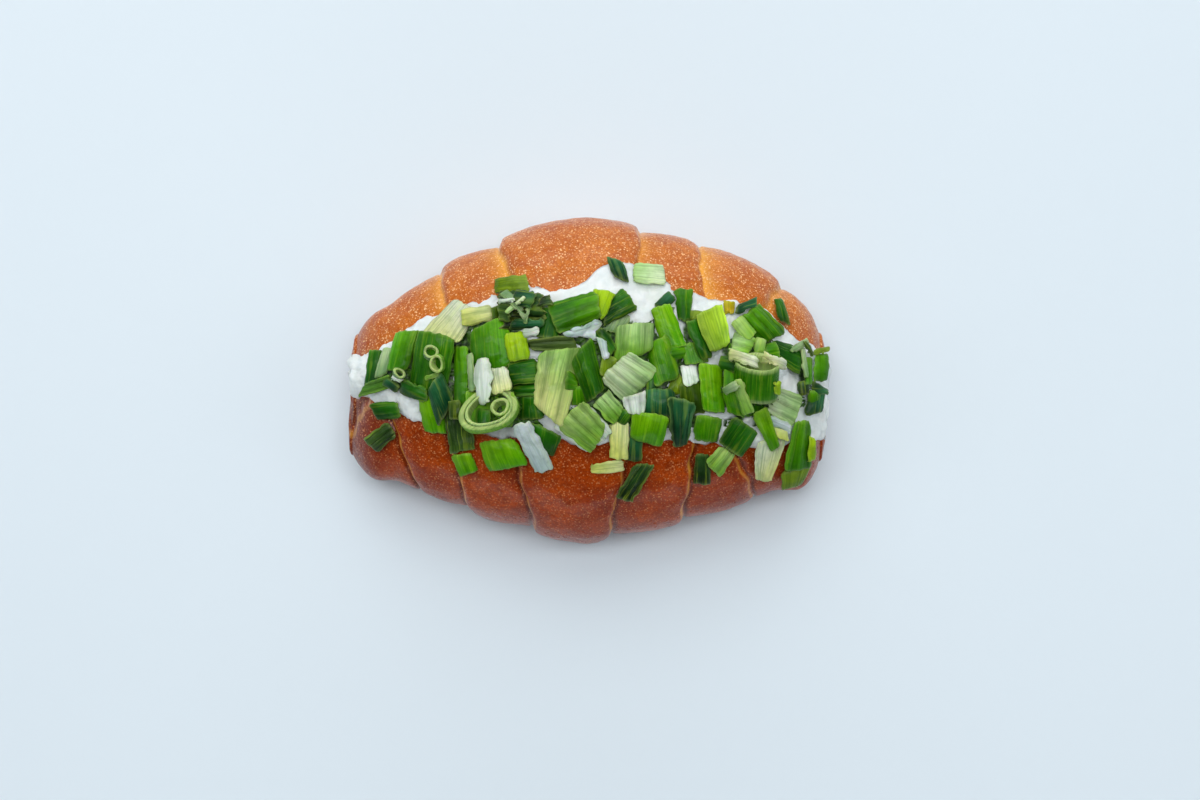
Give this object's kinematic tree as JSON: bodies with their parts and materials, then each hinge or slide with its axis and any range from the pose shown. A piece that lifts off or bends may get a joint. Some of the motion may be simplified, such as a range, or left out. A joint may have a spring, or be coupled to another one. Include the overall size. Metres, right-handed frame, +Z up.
{
  "type": "salt bread",
  "caption": "Ridged golden-brown crescent bun slit along its top, filled with cream cheese and heaped with chopped scallions.",
  "frame": {"origin": "middle of the bounding box at the flat underside the bun rests on", "axes": "+X along the bun, towards the end where the slit is wider; +Z up, out of the slit; +Y towards the back half"},
  "size_m": [0.1402, 0.0959, 0.0571],
  "materials": {
    "crust": "baked egg-washed crust, golden brown, semi-gloss, finely speckled",
    "cream": "soft white cream cheese, moist satin",
    "scallion": "cut scallion leaf, moist, from dark green to nearly white"
  },
  "bodies": {
    "root": {"bread": "crust", "cream_cheese": "cream", "scallion_heap": "scallion", "scallion_piece_01": "scallion", "scallion_piece_02": "scallion", "scallion_piece_03": "scallion", "scallion_piece_04": "scallion", "scallion_piece_05": "scallion", "scallion_piece_06": "scallion", "scallion_piece_07": "scallion", "scallion_piece_08": "scallion", "scallion_piece_09": "scallion", "scallion_piece_10": "scallion", "scallion_piece_11": "scallion", "scallion_piece_12": "scallion"}
  },
  "joints": []
}
